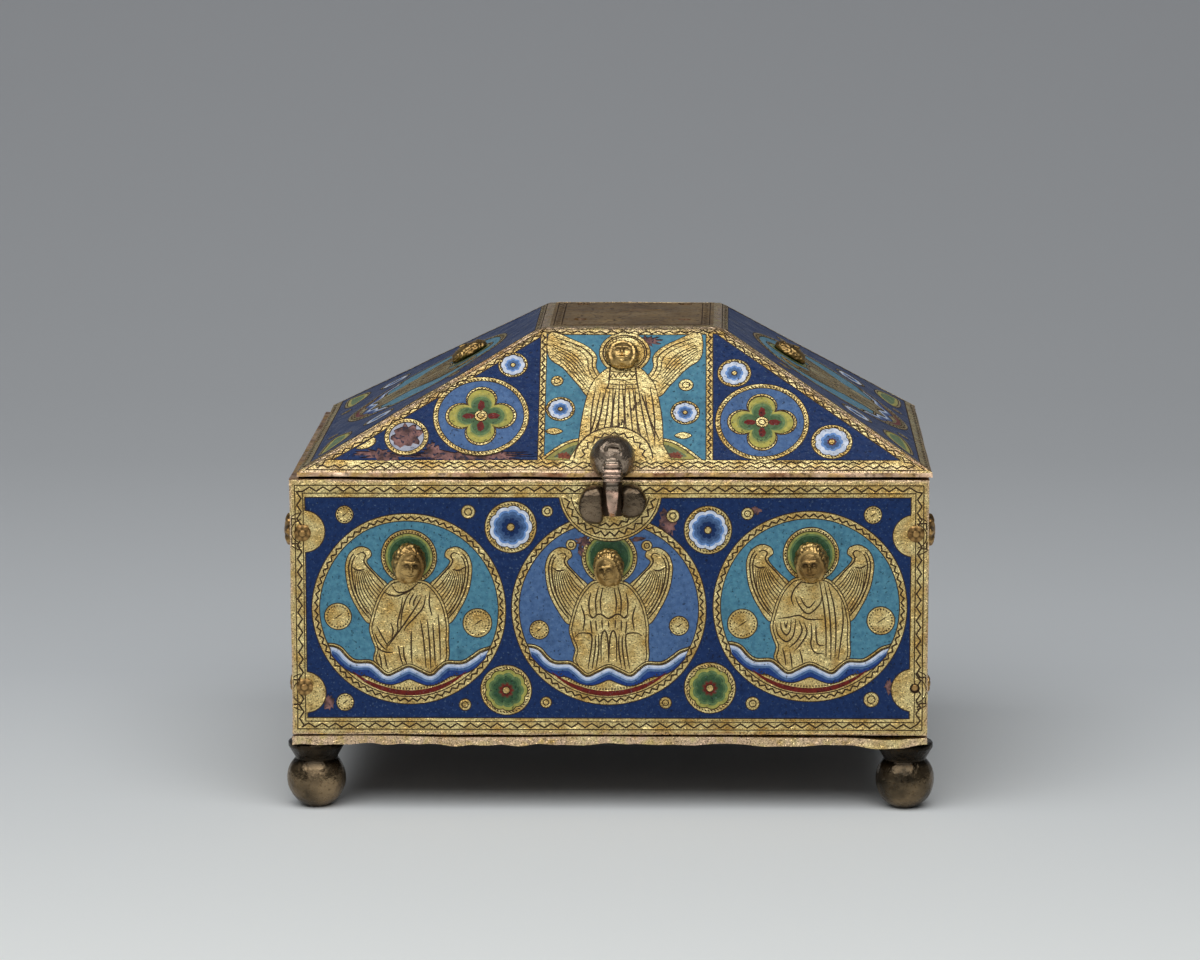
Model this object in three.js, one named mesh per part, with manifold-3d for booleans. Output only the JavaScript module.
// A chrismatory: a small casket for holy oils, made of enamelled and gilt copper plates,
// with a hipped lid that lifts off, a clasp at the front and four ball feet.
// Millimetres, +Z up, front towards -Y. The origin is on the floor under the middle of the whole.
import * as THREE from "three";
import { ConvexGeometry } from "three/addons/geometries/ConvexGeometry.js";
import { mergeVertices } from "three/addons/utils/BufferGeometryUtils.js";
import Module from "manifold-3d";

const wasm = await Module();
wasm.setup();

// Box of plates
const BOX_WIDTH = 160;
const BOX_DEPTH = 112;
const BOX_TOP = 84.7;
const PLATE_THICKNESS = 2.4;
const BASE_THICKNESS = 2.2;
const EDGE_CHAMFER = 0.5;
const JOIN_GAP = 0.3;
const SURFACE_GAP = 0.15;

// Ball feet
const FOOT_HEIGHT = 17;
const FOOT_BALL_RADIUS = 7.45;
const FOOT_BALL_HEIGHT = 12.2;
const FOOT_FLAT_RADIUS = 3;
const FOOT_NECK_RADIUS = 5.35;
const FOOT_COLLAR_RADIUS = 7.05;
const FOOT_COLLAR_EDGE = 1.3;
const FOOT_FLARE = { radiusShare: 0.86, riseShare: 0.72 };
const FOOT_SPACING_X = 149;
const FOOT_INSET_Y = 7.2;
const FOOT_SIDES = 20;
const FOOT_BALL_STEPS = 6;

// Lid, a hollow hipped shell that sits a little to the right, with its top further right
const LID_GAP = 0.4;
const LID_WIDTH = 159;
const LID_SHIFT = 1.4;
const LID_LIP_HEIGHT = 1.4;
const LID_TOP = 119;
const LID_TOP_WIDTH = 45;
const LID_TOP_DEPTH = 50;
const LID_TOP_SHIFT = 5.2;
const LID_THICKNESS = 2.2;

// Holes and slit left in the lid's top by a lost handle
const HANDLE_HOLE_RADIUS = 1.7;
const HANDLE_HOLE_SPACING_X = 27;
const HANDLE_HOLE_SPACING_Y = 30;
const HANDLE_HOLE_SHIFT_Y = 4.5;
const HANDLE_SLIT_LENGTH = 8.2;
const HANDLE_SLIT_WIDTH = 0.9;
const HANDLE_SLIT_X = 3;
const HANDLE_SLIT_Y = 8;
const DRILL_LENGTH = 10;

// Rivets in the lobes of each plate's border
const RIVET_EDGE_DISTANCE = 3.4;
const RIVET_UPPER_HEIGHT = 51.6;
const RIVET_LOWER_HEIGHT = 12.3;
const RIVET_SHANK_RADIUS = 0.9;
const RIVET_HOLE_RADIUS = 1.3;
const RIVET_HEAD = { radius: 2.1, height: 0.8, petals: 0 };
const ROSETTE_HEAD = { radius: 4.1, height: 1.7, petals: 8 };
const RIVET_SHOULDER = { radiusShare: 0.92, heightShare: 0.55 };
const RIVET_CROWN = { radiusShare: 0.5, heightShare: 0.92 };
const PETAL_START_SHARE = 0.8;
const PETAL_NOTCH_SHARE = 0.06;
const RIVET_SIDES = 10;
const STUMP_DEPTH = 0.4;

// Clasp: a ball with a small muzzle and a tongue on the lid, and two lugs on the box
const CLASP_X = 1;
const BOSS_RADIUS = 5.7;
const BOSS_FORWARD = 0.2;
const BOSS_HEIGHT = 90.3;
const MUZZLE = { halfWidth: 2.2, reach: 1.9, halfHeight: 3.2, drop: 3.1, back: 0.9 };
const BROW = { halfWidth: 1.9, reach: 1.3, halfHeight: 1.8, drop: -2.1, back: 0.75 };
const COLLAR_RADIUS = 0.7;
const COLLAR_WIDTH = 4.6;
const COLLAR_DROPS = [4.3, 5.5];
const COLLAR_SIDES = 8;
const BOSS_SIDES = 16;
const BOSS_ROWS = 12;
const LOBE_SIDES = 12;
const LOBE_ROWS = 8;
const TONGUE_TOP_WIDTH = 3.3;
const TONGUE_TIP_WIDTH = 2;
const TONGUE_THICKNESS = 1.8;
const TONGUE_TIP_HEIGHT = 75.9;
const TONGUE_BEND_DROP = 2.5;
const TONGUE_START_SHARE = 0.5;
const TONGUE_OUT_SHARE = 0.8;
const TONGUE_TIP_CLEARANCE = 0.4;
const CLASP_CLEARANCE = 0.5;
const LUG_REACH_X = 8.6;
const LUG_REACH_OUT = 4.6;
const LUG_SLOT_WIDTH = 5;
const LUG_SIDES = 16;
const LUG_ROWS = 10;
const LUGS = [
  { name: "clasp_lug_left", side: -1, halfHeight: 4.7, height: 78.3 },
  { name: "clasp_lug_right", side: 1, halfHeight: 4, height: 79.3 },
];

// Applied cast heads: half sizes across, up and out, and where each head sits and turns
const HEAD_OUT_SHARE = 0.39;
const HEAD_SIDES = 24;
const HEAD_ROWS = 14;
const HAIR_RISE = 0.08;
const HAIR_WAVE = 0.05;
const HAIR_LOCKS = 10;
const HAIR_BACK = -0.2;
const FACE_OVAL = { halfWidth: 0.66, halfHeight: 0.74, drop: 0.16 };
const FACE_FORMS = [
  { name: "nose", rise: 0.2, x: 0, y: -0.12, spreadX: 0.15, spreadY: 0.2 },
  { name: "eye sockets", rise: -0.07, x: 0.3, y: 0.08, spreadX: 0.14, spreadY: 0.14 },
  { name: "mouth", rise: -0.04, x: 0, y: -0.45, spreadX: 0.24, spreadY: 0.07 },
  { name: "chin", rise: 0.06, x: 0, y: -0.72, spreadX: 0.25, spreadY: 0.16 },
];
const FRONT_HEADS = [
  { name: "head_front_left", halfSizes: [4.1, 4.9, 3.6], x: -50, y: 44.2, turn: 14, tilt: -4 },
  { name: "head_front_middle", halfSizes: [3.7, 4.6, 3.4], x: 0, y: 43.2, turn: -16, tilt: 5 },
  { name: "head_front_right", halfSizes: [4.1, 4.9, 3.6], x: 50.6, y: 44.6, turn: -10, tilt: 4 },
];
const SLOPE_HEADS = [
  { name: "head_lid_front", side: "front", halfSizes: [4, 3.8, 2.8], x: 1.6, y: 35.4, turn: 0, tilt: 0 },
  { name: "head_lid_left", side: "left", halfSizes: [3.9, 4.8, 2.1], x: 0, y: 46.4, turn: 0, tilt: 0 },
  { name: "head_lid_right", side: "right", halfSizes: [3.6, 4.3, 2.1], x: 0, y: 41.5, turn: 0, tilt: 0 },
];

// Levels and half sizes that follow from the driving dimensions
const halfWidth = BOX_WIDTH / 2;
const halfDepth = BOX_DEPTH / 2;
const baseTop = FOOT_HEIGHT + BASE_THICKNESS;
const wallBottom = baseTop + JOIN_GAP;
const wallHeight = BOX_TOP - wallBottom;
const sideLength = BOX_DEPTH - 2 * (PLATE_THICKNESS + JOIN_GAP);
const rimBottom = BOX_TOP + LID_GAP;
const slopeBottom = rimBottom + LID_LIP_HEIGHT;
const lidHalfWidth = LID_WIDTH / 2;
const frontReach = BOSS_FORWARD + BOSS_RADIUS * MUZZLE.back + MUZZLE.reach;
const backReach = RIVET_HEAD.height;

const object = new THREE.Group();
object.position.y = (frontReach - backReach) / 2;

// Materials
const giltEnamel = { color: 0x6f6a52, roughness: 0.4, metalness: 0.6 };
const giltCast = { color: 0x9a7a42, roughness: 0.4, metalness: 0.9 };
const darkBronze = { color: 0x4a3c2c, roughness: 0.4, metalness: 0.8 };
const copper = { color: 0xa0694a, roughness: 0.5, metalness: 0.9 };

function addPiece(parent, name, geometry, finish) {
  const mesh = new THREE.Mesh(geometry, new THREE.MeshStandardMaterial(finish));
  mesh.name = name;
  parent.add(mesh);
  return mesh;
}

// A closed geometry as a solid for joins and cuts
function solidOf(geometry) {
  const bare = geometry.index ? geometry.toNonIndexed() : geometry.clone();
  bare.deleteAttribute("normal");
  bare.deleteAttribute("uv");
  const merged = mergeVertices(bare, 1e-4);
  const vertProperties = new Float32Array(merged.attributes.position.array);
  const triVerts = new Uint32Array(merged.index.array);
  return new wasm.Manifold(new wasm.Mesh({ numProp: 3, vertProperties, triVerts }));
}

function geometryOf(solid) {
  const mesh = solid.getMesh();
  const geometry = new THREE.BufferGeometry();
  geometry.setAttribute("position", new THREE.BufferAttribute(new Float32Array(mesh.vertProperties), 3));
  geometry.setIndex(new THREE.BufferAttribute(new Uint32Array(mesh.triVerts), 1));
  geometry.computeVertexNormals();
  return geometry;
}

// A block between two corners
function block(low, high) {
  const size = new THREE.Vector3().subVectors(high, low);
  const middle = new THREE.Vector3().addVectors(low, high).multiplyScalar(0.5);
  return new THREE.BoxGeometry(size.x, size.y, size.z).translate(middle.x, middle.y, middle.z);
}

// A cylinder whose axis runs along X
function crossBar(radius, length, sides) {
  return new THREE.CylinderGeometry(radius, radius, length, sides).rotateZ(Math.PI / 2);
}

// A drill for round holes, along Z
function drill(radius) {
  return new THREE.CylinderGeometry(radius, radius, DRILL_LENGTH, RIVET_SIDES).rotateX(Math.PI / 2);
}

// Corners of a flat convex face, moved in from each of its edges by the same distance
function insetFace(corners, distance) {
  const normal = new THREE.Vector3();
  const edgeA = new THREE.Vector3().subVectors(corners[1], corners[0]);
  const edgeB = new THREE.Vector3().subVectors(corners[2], corners[0]);
  normal.crossVectors(edgeA, edgeB).normalize();
  const count = corners.length;
  return corners.map((corner, index) => {
    const before = corners[(index + count - 1) % count];
    const after = corners[(index + 1) % count];
    const inA = new THREE.Vector3().subVectors(corner, before).normalize();
    const inB = new THREE.Vector3().subVectors(after, corner).normalize();
    inA.crossVectors(normal, inA);
    inB.crossVectors(normal, inB);
    const step = inA.clone().add(inB).multiplyScalar(distance / (1 + inA.dot(inB)));
    return corner.clone().add(step);
  });
}

// The convex solid whose flat faces are given, with every edge chamfered
function chamferedSolid(faces, chamfer) {
  return new ConvexGeometry(faces.flatMap((face) => insetFace(face, chamfer)));
}

// A plate in its own frame: outer face on z = 0, lower edge on y = 0
function plateGeometry(width, height, thickness) {
  const level = (z) => [
    new THREE.Vector3(-width / 2, 0, z),
    new THREE.Vector3(width / 2, 0, z),
    new THREE.Vector3(width / 2, height, z),
    new THREE.Vector3(-width / 2, height, z),
  ];
  const outer = level(0);
  const inner = level(-thickness);
  const faces = [outer, [...inner].reverse()];
  for (let i = 0; i < outer.length; i += 1) {
    const next = (i + 1) % outer.length;
    faces.push([inner[i], inner[next], outer[next], outer[i]]);
  }
  return chamferedSolid(faces, EDGE_CHAMFER);
}

// A group whose x runs right, y up the face and z out of the face
function faceFrame(origin, right, up) {
  const frame = new THREE.Group();
  const out = new THREE.Vector3().crossVectors(right, up);
  frame.quaternion.setFromRotationMatrix(new THREE.Matrix4().makeBasis(right, up, out));
  frame.position.copy(origin);
  object.add(frame);
  return frame;
}

// Rivets: a shank through the plate and a domed or petalled head
function rivetGeometry(head) {
  const sides = head.petals > 0 ? 2 * head.petals : RIVET_SIDES;
  const profile = [
    new THREE.Vector2(0, JOIN_GAP - PLATE_THICKNESS),
    new THREE.Vector2(RIVET_SHANK_RADIUS, JOIN_GAP - PLATE_THICKNESS),
    new THREE.Vector2(RIVET_SHANK_RADIUS, SURFACE_GAP),
    new THREE.Vector2(head.radius, SURFACE_GAP),
    new THREE.Vector2(head.radius * RIVET_SHOULDER.radiusShare, head.height * RIVET_SHOULDER.heightShare),
    new THREE.Vector2(head.radius * RIVET_CROWN.radiusShare, head.height * RIVET_CROWN.heightShare),
    new THREE.Vector2(0, head.height),
  ];
  const geometry = new THREE.LatheGeometry(profile, sides).rotateX(Math.PI / 2);
  const position = geometry.attributes.position;
  for (let i = 0; head.petals > 0 && i < position.count; i += 1) {
    const x = position.getX(i);
    const y = position.getY(i);
    if (Math.hypot(x, y) > head.radius * PETAL_START_SHARE) {
      const petal = 1 - PETAL_NOTCH_SHARE * (1 - Math.cos(head.petals * Math.atan2(y, x)));
      position.setXY(i, x * petal, y * petal);
    }
  }
  return geometry;
}

// A rivet that has lost its head: only the shank, a little below the surface
function stumpGeometry() {
  const length = PLATE_THICKNESS - JOIN_GAP - STUMP_DEPTH;
  const middle = -STUMP_DEPTH - length / 2;
  return new THREE.CylinderGeometry(RIVET_SHANK_RADIUS, RIVET_SHANK_RADIUS, length, RIVET_SIDES)
    .rotateX(Math.PI / 2)
    .translate(0, 0, middle);
}

// One wall: its plate with rivet holes, and its four rivets
function addWall(side, frame, width, headAt) {
  let plate = solidOf(plateGeometry(width, wallHeight, PLATE_THICKNESS));
  for (const [level, y] of [["upper", RIVET_UPPER_HEIGHT], ["lower", RIVET_LOWER_HEIGHT]]) {
    for (const [hand, sign] of [["left", -1], ["right", 1]]) {
      const x = sign * (width / 2 - RIVET_EDGE_DISTANCE);
      plate = plate.subtract(solidOf(drill(RIVET_HOLE_RADIUS).translate(x, y, 0)));
      const head = headAt(level, hand);
      const geometry = head ? rivetGeometry(head) : stumpGeometry();
      addPiece(frame, `${side}_rivet_${level}_${hand}`, geometry, head ? giltCast : darkBronze)
        .position.set(x, y, 0);
    }
  }
  addPiece(frame, `${side}_plate`, geometryOf(plate), giltEnamel);
}

function addBase() {
  const base = plateGeometry(BOX_WIDTH, BOX_DEPTH, BASE_THICKNESS);
  addPiece(object, "base_plate", base, copper).position.set(0, -halfDepth, baseTop);
}

// Ball feet: a squashed ball with a flat spot, a neck and a flared collar
function footGeometry() {
  const half = FOOT_BALL_HEIGHT / 2;
  const lowest = Math.asin(FOOT_FLAT_RADIUS / FOOT_BALL_RADIUS) - Math.PI / 2;
  const highest = Math.acos(FOOT_NECK_RADIUS / FOOT_BALL_RADIUS);
  const stretch = FOOT_BALL_HEIGHT / (Math.sin(highest) - Math.sin(lowest));
  const profile = [new THREE.Vector2(0, 0)];
  for (let i = 0; i <= FOOT_BALL_STEPS; i += 1) {
    const angle = lowest + ((highest - lowest) * i) / FOOT_BALL_STEPS;
    const rise = (Math.sin(angle) - Math.sin(lowest)) * stretch;
    profile.push(new THREE.Vector2(FOOT_BALL_RADIUS * Math.cos(angle), rise));
  }
  const top = FOOT_HEIGHT - JOIN_GAP;
  const flareHeight = half + (top - half) * FOOT_FLARE.riseShare;
  profile.push(new THREE.Vector2(FOOT_COLLAR_RADIUS * FOOT_FLARE.radiusShare, flareHeight));
  profile.push(new THREE.Vector2(FOOT_COLLAR_RADIUS, top - FOOT_COLLAR_EDGE));
  profile.push(new THREE.Vector2(FOOT_COLLAR_RADIUS, top));
  profile.push(new THREE.Vector2(0, top));
  return new THREE.LatheGeometry(profile, FOOT_SIDES).rotateX(Math.PI / 2);
}

function addFeet() {
  for (const [row, signY] of [["front", -1], ["back", 1]]) {
    for (const [hand, signX] of [["left", -1], ["right", 1]]) {
      addPiece(object, `foot_${row}_${hand}`, footGeometry(), darkBronze)
        .position.set((signX * FOOT_SPACING_X) / 2, signY * (halfDepth - FOOT_INSET_Y), 0);
    }
  }
}

// A rectangle of four corners at one height, counter-clockwise seen from above
function rectangle(centreX, halfX, halfY, z) {
  return [
    new THREE.Vector3(centreX - halfX, -halfY, z),
    new THREE.Vector3(centreX + halfX, -halfY, z),
    new THREE.Vector3(centreX + halfX, halfY, z),
    new THREE.Vector3(centreX - halfX, halfY, z),
  ];
}

// The lid's outer form, grown by a clearance, as stacked rectangles joined by flat faces
function lidFaces(grow) {
  const low = rectangle(LID_SHIFT, lidHalfWidth + grow, halfDepth + grow, rimBottom - grow);
  const lip = rectangle(LID_SHIFT, lidHalfWidth + grow, halfDepth + grow, slopeBottom + grow);
  const halfTopX = LID_TOP_WIDTH / 2 + grow;
  const top = rectangle(LID_TOP_SHIFT, halfTopX, LID_TOP_DEPTH / 2 + grow, LID_TOP + grow);
  const faces = [[...low].reverse(), top];
  for (let i = 0; i < low.length; i += 1) {
    const next = (i + 1) % low.length;
    faces.push([low[i], low[next], lip[next], lip[i]]);
    faces.push([lip[i], lip[next], top[next], top[i]]);
  }
  return faces;
}

// The hollow under the lid: the same slopes, one plate thickness further in
function lidHollow() {
  const rise = LID_TOP - slopeBottom;
  const inward = (run) => LID_THICKNESS / Math.sin(Math.atan2(rise, run));
  const topInward = (run) => LID_THICKNESS * Math.tan(Math.atan2(rise, run) / 2);
  const runX = lidHalfWidth - LID_TOP_WIDTH / 2;
  const runY = halfDepth - LID_TOP_DEPTH / 2;
  const halfX = lidHalfWidth - inward(runX);
  const halfY = halfDepth - inward(runY);
  const topX = LID_TOP_WIDTH / 2 - topInward(runX);
  const topY = LID_TOP_DEPTH / 2 - topInward(runY);
  return new ConvexGeometry([
    ...rectangle(LID_SHIFT, halfX, halfY, rimBottom - LID_LIP_HEIGHT),
    ...rectangle(LID_SHIFT, halfX, halfY, slopeBottom),
    ...rectangle(LID_TOP_SHIFT, topX, topY, LID_TOP - LID_THICKNESS),
  ]);
}

function addLid() {
  let lid = solidOf(chamferedSolid(lidFaces(0), EDGE_CHAMFER)).subtract(solidOf(lidHollow()));
  for (const signX of [-1, 1]) {
    for (const signY of [-1, 1]) {
      const x = LID_TOP_SHIFT + (signX * HANDLE_HOLE_SPACING_X) / 2;
      const y = HANDLE_HOLE_SHIFT_Y + (signY * HANDLE_HOLE_SPACING_Y) / 2;
      lid = lid.subtract(solidOf(drill(HANDLE_HOLE_RADIUS).translate(x, y, LID_TOP)));
    }
  }
  const slit = new THREE.BoxGeometry(HANDLE_SLIT_LENGTH, HANDLE_SLIT_WIDTH, DRILL_LENGTH);
  lid = lid.subtract(solidOf(slit.translate(LID_TOP_SHIFT + HANDLE_SLIT_X, HANDLE_SLIT_Y, LID_TOP)));
  addPiece(object, "lid", geometryOf(lid), giltEnamel);
}

// A frame on one slope of the lid, at the middle of its lower edge
function slopeFrame(side) {
  const rise = LID_TOP - slopeBottom;
  const inwardY = halfDepth - LID_TOP_DEPTH / 2;
  const leftRun = LID_TOP_SHIFT - LID_TOP_WIDTH / 2 - (LID_SHIFT - lidHalfWidth);
  const rightRun = LID_SHIFT + lidHalfWidth - (LID_TOP_SHIFT + LID_TOP_WIDTH / 2);
  const slopes = {
    front: [LID_SHIFT, -halfDepth, [1, 0, 0], [0, inwardY, rise]],
    left: [LID_SHIFT - lidHalfWidth, 0, [0, -1, 0], [leftRun, 0, rise]],
    right: [LID_SHIFT + lidHalfWidth, 0, [0, 1, 0], [-rightRun, 0, rise]],
  };
  const [x, y, right, up] = slopes[side];
  const origin = new THREE.Vector3(x, y, slopeBottom);
  return faceFrame(origin, new THREE.Vector3(...right), new THREE.Vector3(...up).normalize());
}

// How far the head stands out from a plain egg, at a direction on it: x right, y up, z forward
function headRelief(x, y, z) {
  const bump = (value, centre, width) => Math.exp(-(((value - centre) / width) ** 2));
  if (z < HAIR_BACK) {
    return 0;
  }
  const fromMiddle = y + FACE_OVAL.drop;
  if ((x / FACE_OVAL.halfWidth) ** 2 + (fromMiddle / FACE_OVAL.halfHeight) ** 2 > 1) {
    return HAIR_RISE + HAIR_WAVE * Math.cos(HAIR_LOCKS * Math.atan2(fromMiddle, x));
  }
  let relief = 0;
  for (const form of FACE_FORMS) {
    relief += form.rise * bump(Math.abs(x), form.x, form.spreadX) * bump(y, form.y, form.spreadY);
  }
  return relief;
}

// A head in its face's frame, cut flat where it lies on the plate
function headGeometry(head) {
  const [across, up, out] = head.halfSizes;
  const geometry = new THREE.SphereGeometry(1, HEAD_SIDES, HEAD_ROWS);
  const position = geometry.attributes.position;
  for (let i = 0; i < position.count; i += 1) {
    const [x, y, z] = [position.getX(i), position.getY(i), position.getZ(i)];
    const scale = 1 + headRelief(x, y, z);
    position.setXYZ(i, x * across * scale, y * up * scale, z * out * scale);
  }
  geometry.rotateY(THREE.MathUtils.degToRad(head.turn));
  geometry.rotateZ(THREE.MathUtils.degToRad(head.tilt));
  geometry.translate(0, 0, HEAD_OUT_SHARE * out);
  const reach = 4 * up;
  const front = block(new THREE.Vector3(-reach, -reach, SURFACE_GAP), new THREE.Vector3(reach, reach, reach));
  return geometryOf(solidOf(geometry).intersect(solidOf(front)));
}

function addHeads(frontFrame) {
  for (const head of FRONT_HEADS) {
    addPiece(frontFrame, head.name, headGeometry(head), giltCast).position.set(head.x, head.y, 0);
  }
  for (const head of SLOPE_HEADS) {
    const slope = slopeFrame(head.side);
    addPiece(slope, head.name, headGeometry(head), giltCast).position.set(head.x, head.y, 0);
  }
}

// A squashed ball on the front of the boss, as far out and down as its sizes say
function bossLobe(lobe, centreY) {
  const y = centreY - BOSS_RADIUS * lobe.back;
  return solidOf(
    new THREE.SphereGeometry(1, LOBE_SIDES, LOBE_ROWS)
      .scale(lobe.halfWidth, lobe.reach, lobe.halfHeight)
      .translate(0, y, BOSS_HEIGHT - lobe.drop),
  );
}

// The clasp's ball with its cast muzzle, collar and tongue, cut clear of the lid and the box
function bossGeometry() {
  const centreY = -halfDepth - BOSS_FORWARD;
  const ball = new THREE.SphereGeometry(BOSS_RADIUS, BOSS_SIDES, BOSS_ROWS);
  let boss = solidOf(ball.translate(0, centreY, BOSS_HEIGHT));
  boss = boss.add(bossLobe(MUZZLE, centreY)).add(bossLobe(BROW, centreY));
  for (const drop of COLLAR_DROPS) {
    const y = centreY - Math.sqrt(BOSS_RADIUS ** 2 - drop ** 2) - COLLAR_RADIUS;
    const collar = crossBar(COLLAR_RADIUS, COLLAR_WIDTH, COLLAR_SIDES).translate(0, y, BOSS_HEIGHT - drop);
    boss = boss.add(solidOf(collar));
  }
  boss = boss.add(solidOf(tongueGeometry(centreY)));
  boss = boss.subtract(solidOf(new ConvexGeometry(lidFaces(JOIN_GAP).flat())));
  const boxLow = new THREE.Vector3(-halfWidth, -halfDepth - CLASP_CLEARANCE, 0);
  const boxHigh = new THREE.Vector3(halfWidth, halfDepth, BOX_TOP + CLASP_CLEARANCE);
  return geometryOf(boss.subtract(solidOf(block(boxLow, boxHigh))));
}

// The tongue tapers downwards from the ball's lower front to its tip between the lugs
function tongueGeometry(centreY) {
  const top = BOSS_HEIGHT - BOSS_RADIUS * TONGUE_START_SHARE;
  const bend = BOX_TOP - TONGUE_BEND_DROP;
  const tipOut = -halfDepth - CLASP_CLEARANCE - TONGUE_TIP_CLEARANCE - TONGUE_THICKNESS;
  const bendOut = centreY - BOSS_RADIUS * TONGUE_OUT_SHARE;
  const levels = [
    [top, bendOut, TONGUE_TOP_WIDTH],
    [bend, bendOut, TONGUE_TOP_WIDTH],
    [TONGUE_TIP_HEIGHT, tipOut, TONGUE_TIP_WIDTH],
  ];
  const points = [];
  for (const [z, y, width] of levels) {
    for (const x of [-width / 2, width / 2]) {
      points.push(new THREE.Vector3(x, y, z), new THREE.Vector3(x, y + TONGUE_THICKNESS, z));
    }
  }
  return new ConvexGeometry(points);
}

// Each lug is one half of a squashed ball on the front plate, parted by the tongue's slot
function lugGeometry(lug) {
  const ball = new THREE.SphereGeometry(1, LUG_SIDES, LUG_ROWS);
  ball.scale(LUG_REACH_X, LUG_REACH_OUT, lug.halfHeight);
  const inner = LUG_SLOT_WIDTH / 2;
  const far = 2 * LUG_REACH_X;
  const keepLow = new THREE.Vector3(lug.side > 0 ? inner : -far, -far, -far);
  const keepHigh = new THREE.Vector3(lug.side > 0 ? far : -inner, -SURFACE_GAP, far);
  return geometryOf(solidOf(ball).intersect(solidOf(block(keepLow, keepHigh))));
}

function addClasp() {
  addPiece(object, "clasp_boss", bossGeometry(), darkBronze).position.x = CLASP_X;
  for (const lug of LUGS) {
    addPiece(object, lug.name, lugGeometry(lug), darkBronze).position.set(CLASP_X, -halfDepth, lug.height);
  }
}

// Assembly
const axisX = new THREE.Vector3(1, 0, 0);
const axisY = new THREE.Vector3(0, 1, 0);
const axisZ = new THREE.Vector3(0, 0, 1);
const frontFrame = faceFrame(new THREE.Vector3(0, -halfDepth, wallBottom), axisX, axisZ);
const backFrame = faceFrame(new THREE.Vector3(0, halfDepth, wallBottom), axisX.clone().negate(), axisZ);
const leftFrame = faceFrame(new THREE.Vector3(-halfWidth, 0, wallBottom), axisY.clone().negate(), axisZ);
const rightFrame = faceFrame(new THREE.Vector3(halfWidth, 0, wallBottom), axisY, axisZ);
const frontHead = (level, hand) => (level === "lower" && hand === "right" ? null : RIVET_HEAD);
const sideHead = (level) => (level === "upper" ? ROSETTE_HEAD : RIVET_HEAD);
addWall("front", frontFrame, BOX_WIDTH, frontHead);
addWall("back", backFrame, BOX_WIDTH, () => RIVET_HEAD);
addWall("left", leftFrame, sideLength, sideHead);
addWall("right", rightFrame, sideLength, sideHead);
addBase();
addFeet();
addLid();
addHeads(frontFrame);
addClasp();

const chrismatory = new THREE.Group();
chrismatory.add(object);

export default chrismatory;
